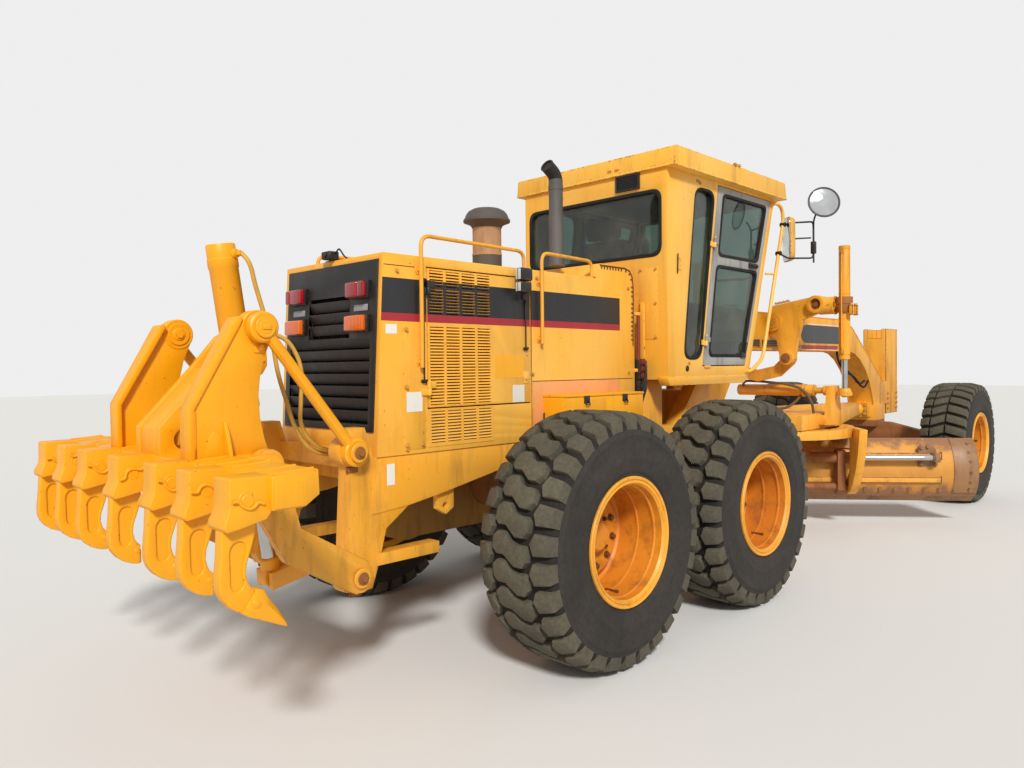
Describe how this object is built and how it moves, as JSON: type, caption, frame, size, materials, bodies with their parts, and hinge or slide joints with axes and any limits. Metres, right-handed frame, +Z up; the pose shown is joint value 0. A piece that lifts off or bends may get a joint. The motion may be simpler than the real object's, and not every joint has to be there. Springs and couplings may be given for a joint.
{
  "type": "motor grader",
  "caption": "Articulated motor grader with tandem drive wheels, enclosed cab, angled blade under a long beam, and raised rear ripper.",
  "frame": {"origin": "centre of the outline on the ground under the machine", "axes": "+X to the machine's right, +Y forward along its length, +Z up"},
  "size_m": [3.5364, 10.57, 3.39],
  "materials": {
    "yellow_paint": "faded yellow enamel",
    "fresh_yellow_paint": "fresh yellow enamel",
    "black_paint": "satin black",
    "cast_dirty": "dusty cast iron",
    "tandem_paint": "dirty yellow enamel",
    "worn_steel": "worn and rusty steel",
    "brown_enamel": "brown enamel",
    "lens": "moulded lens",
    "glass": "tinted",
    "cab_trim": "dark trim and cloth",
    "grey_frame": "satin grey",
    "chrome": "polished",
    "rubber": "dusty rubber",
    "rim_paint": "orange yellow enamel"
  },
  "bodies": {
    "rear_body": {"rear_frame": "yellow_paint", "engine_block": "cast_dirty", "hood_shell": "yellow_paint", "rear_grille": "black_paint", "rear_lamps": "lens", "precleaner": "brown_enamel", "exhaust_stack": "black_paint", "handrails": "yellow_paint", "side_boxes": "fresh_yellow_paint", "cab_rails": "yellow_paint", "cab_shell": "yellow_paint", "cab_roof": "yellow_paint", "cab_glass": "glass", "cab_interior": "cab_trim", "mirrors": "black_paint", "rear_axle": "cast_dirty", "tandem_left": "tandem_paint", "tandem_right": "tandem_paint"},
    "engine_door_l": {"engine_door_left": "yellow_paint"},
    "engine_door_r": {"engine_door_right": "yellow_paint"},
    "cab_door_l": {"cab_door_left": "grey_frame"},
    "cab_door_r": {"cab_door_right": "grey_frame"},
    "wheel_lb": {"rear_tyre_left_back": "rubber", "rear_rim_left_back": "rim_paint"},
    "wheel_lf": {"rear_tyre_left_fore": "rubber", "rear_rim_left_fore": "rim_paint"},
    "wheel_rb": {"rear_tyre_right_back": "rubber", "rear_rim_right_back": "rim_paint"},
    "wheel_rf": {"rear_tyre_right_fore": "rubber", "rear_rim_right_fore": "rim_paint"},
    "front_body": {"front_frame": "yellow_paint", "front_upright": "yellow_paint", "lift_arms": "yellow_paint", "front_axle": "cast_dirty"},
    "steer_l": {"knuckle_left": "cast_dirty"},
    "steer_r": {"knuckle_right": "cast_dirty"},
    "steer_bar": {"tie_rod": "cast_dirty"},
    "front_wheel_l": {"front_tyre_left": "rubber", "front_rim_left": "rim_paint"},
    "front_wheel_r": {"front_tyre_right": "rubber", "front_rim_right": "rim_paint"},
    "drawbar_body": {"drawbar": "yellow_paint", "circle_shoes": "cast_dirty", "centre_shift_cylinder": "yellow_paint"},
    "lift_cyl_l": {"lift_barrel_left": "yellow_paint"},
    "lift_cyl_r": {"lift_barrel_right": "yellow_paint"},
    "lift_piston_l": {"lift_rod_left": "chrome"},
    "lift_piston_r": {"lift_rod_right": "chrome"},
    "circle_body": {"circle": "yellow_paint"},
    "carrier_body": {"blade_carrier": "worn_steel", "shift_barrel": "yellow_paint"},
    "blade_body": {"moldboard": "worn_steel", "shift_rod": "chrome"},
    "rip_arm": {"ripper_lower_arm": "fresh_yellow_paint"},
    "rip_link": {"ripper_upper_links": "fresh_yellow_paint"},
    "rip_tool": {"ripper_beam": "fresh_yellow_paint", "ripper_shanks": "fresh_yellow_paint"},
    "rip_cyl": {"ripper_barrel": "fresh_yellow_paint"},
    "rip_piston": {"ripper_rod": "chrome"}
  },
  "joints": [
    {"name": "articulation", "type": "hinge", "parent": "rear_body", "child": "front_body", "pos_m": [0, -0.315, 1.25], "axis": [0, 0, 1], "range_deg": [-20, 20]},
    {"name": "spin_left_back", "type": "hinge", "parent": "rear_body", "child": "wheel_lb", "pos_m": [-1.14, -2.893, 0.745], "axis": [1, 0, 0], "continuous": true},
    {"name": "spin_left_fore", "type": "hinge", "parent": "rear_body", "child": "wheel_lf", "pos_m": [-1.14, -1.237, 0.745], "axis": [1, 0, 0], "continuous": true},
    {"name": "spin_right_back", "type": "hinge", "parent": "rear_body", "child": "wheel_rb", "pos_m": [1.14, -2.893, 0.745], "axis": [1, 0, 0], "continuous": true},
    {"name": "spin_right_fore", "type": "hinge", "parent": "rear_body", "child": "wheel_rf", "pos_m": [1.14, -1.237, 0.745], "axis": [1, 0, 0], "continuous": true},
    {"name": "steering", "type": "hinge", "parent": "front_body", "child": "steer_l", "pos_m": [-0.83, 4.494, 0.745], "axis": [0, 0, 1], "range_deg": [-50, 50]},
    {"name": "steering_right", "type": "hinge", "parent": "front_body", "child": "steer_r", "pos_m": [0.83, 4.494, 0.745], "axis": [0, 0, 1], "range_deg": [-50, 50]},
    {"name": "tie_rod_pivot", "type": "hinge", "parent": "steer_l", "child": "steer_bar", "pos_m": [-0.83, 4.264, 0.525], "axis": [0, 0, 1], "range_deg": [-50, 50]},
    {"name": "spin_front_left", "type": "hinge", "parent": "steer_l", "child": "front_wheel_l", "pos_m": [-1.14, 4.494, 0.745], "axis": [1, 0, 0], "continuous": true},
    {"name": "spin_front_right", "type": "hinge", "parent": "steer_r", "child": "front_wheel_r", "pos_m": [1.14, 4.494, 0.745], "axis": [1, 0, 0], "continuous": true},
    {"name": "blade_lift", "type": "hinge", "parent": "front_body", "child": "drawbar_body", "pos_m": [0, 4.205, 1.13], "axis": [-1, 0, 0], "range_deg": [-14, 5.5]},
    {"name": "lift_trunnion_left", "type": "hinge", "parent": "front_body", "child": "lift_cyl_l", "pos_m": [-0.85, 1.585, 2.35], "axis": [-1, 0, 0], "range_deg": [-1, 2]},
    {"name": "lift_trunnion_right", "type": "hinge", "parent": "front_body", "child": "lift_cyl_r", "pos_m": [0.85, 1.585, 2.35], "axis": [-1, 0, 0], "range_deg": [-1, 2]},
    {"name": "lift_stroke_left", "type": "slide", "parent": "lift_cyl_l", "child": "lift_piston_l", "axis": [0, 0, -1], "range_m": [-0.26, 0.65]},
    {"name": "lift_stroke_right", "type": "slide", "parent": "lift_cyl_r", "child": "lift_piston_r", "axis": [0, 0, -1], "range_m": [-0.26, 0.65]},
    {"name": "circle_turn", "type": "hinge", "parent": "drawbar_body", "child": "circle_body", "pos_m": [0, 1.655, 1.1], "axis": [0, 0, 1], "continuous": true},
    {"name": "blade_tip", "type": "hinge", "parent": "circle_body", "child": "carrier_body", "pos_m": [0.12036, 1.49527, 0.43], "axis": [-0.7986, -0.6018, 0], "range_deg": [-5, 40]},
    {"name": "blade_side_shift", "type": "slide", "parent": "carrier_body", "child": "blade_body", "axis": [0.7986, 0.6018, 0], "range_m": [-0.51, 0.51]},
    {"name": "ripper_lift", "type": "hinge", "parent": "rear_body", "child": "rip_arm", "pos_m": [0, -4.155, 0.642], "axis": [1, 0, 0], "range_deg": [0, 84]},
    {"name": "ripper_link_pivot", "type": "hinge", "parent": "rear_body", "child": "rip_link", "pos_m": [0, -4.165, 1.306], "axis": [1, 0, 0], "range_deg": [0, 84]},
    {"name": "ripper_beam_pivot", "type": "hinge", "parent": "rip_arm", "child": "rip_tool", "pos_m": [0, -4.67, 1.287], "axis": [1, 0, 0], "range_deg": [-84, 0]},
    {"name": "ripper_trunnion", "type": "hinge", "parent": "rip_tool", "child": "rip_cyl", "pos_m": [0, -4.54, 1.8], "axis": [1, 0, 0], "range_deg": [0, 57.6]},
    {"name": "ripper_stroke", "type": "slide", "parent": "rip_cyl", "child": "rip_piston", "axis": [0, 0.1443, -0.9895], "range_m": [-0.83, 0]},
    {"name": "cab_door_left_hinge", "type": "hinge", "parent": "rear_body", "child": "cab_door_l", "pos_m": [-0.744, -0.87103, 2.40069], "axis": [0, 0.173, 0.9849], "range_deg": [0, 90]},
    {"name": "cab_door_right_hinge", "type": "hinge", "parent": "rear_body", "child": "cab_door_r", "pos_m": [0.744, -0.87103, 2.40069], "axis": [0, -0.173, -0.9849], "range_deg": [0, 90]},
    {"name": "engine_door_left_hinge", "type": "hinge", "parent": "rear_body", "child": "engine_door_l", "pos_m": [-0.522, -3.641, 1.9], "axis": [0, 0, 1], "range_deg": [0, 90]},
    {"name": "engine_door_right_hinge", "type": "hinge", "parent": "rear_body", "child": "engine_door_r", "pos_m": [0.522, -3.641, 1.9], "axis": [0, 0, -1], "range_deg": [0, 90]}
  ],
  "couplings": [
    {"joint": "steering_right", "follows": "steering", "ratio": 1},
    {"joint": "tie_rod_pivot", "follows": "steering", "ratio": -1},
    {"joint": "lift_trunnion_left", "follows": "blade_lift", "ratio": -0.0959},
    {"joint": "lift_trunnion_right", "follows": "blade_lift", "ratio": -0.0959},
    {"joint": "lift_stroke_left", "follows": "blade_lift", "m_per_rad": -2.6146},
    {"joint": "lift_stroke_right", "follows": "blade_lift", "m_per_rad": -2.6146},
    {"joint": "ripper_link_pivot", "follows": "ripper_lift", "ratio": 1},
    {"joint": "ripper_beam_pivot", "follows": "ripper_lift", "ratio": -1},
    {"joint": "ripper_trunnion", "follows": "ripper_lift", "ratio": 0.6803},
    {"joint": "ripper_stroke", "follows": "ripper_lift", "m_per_rad": -0.5608}
  ]
}
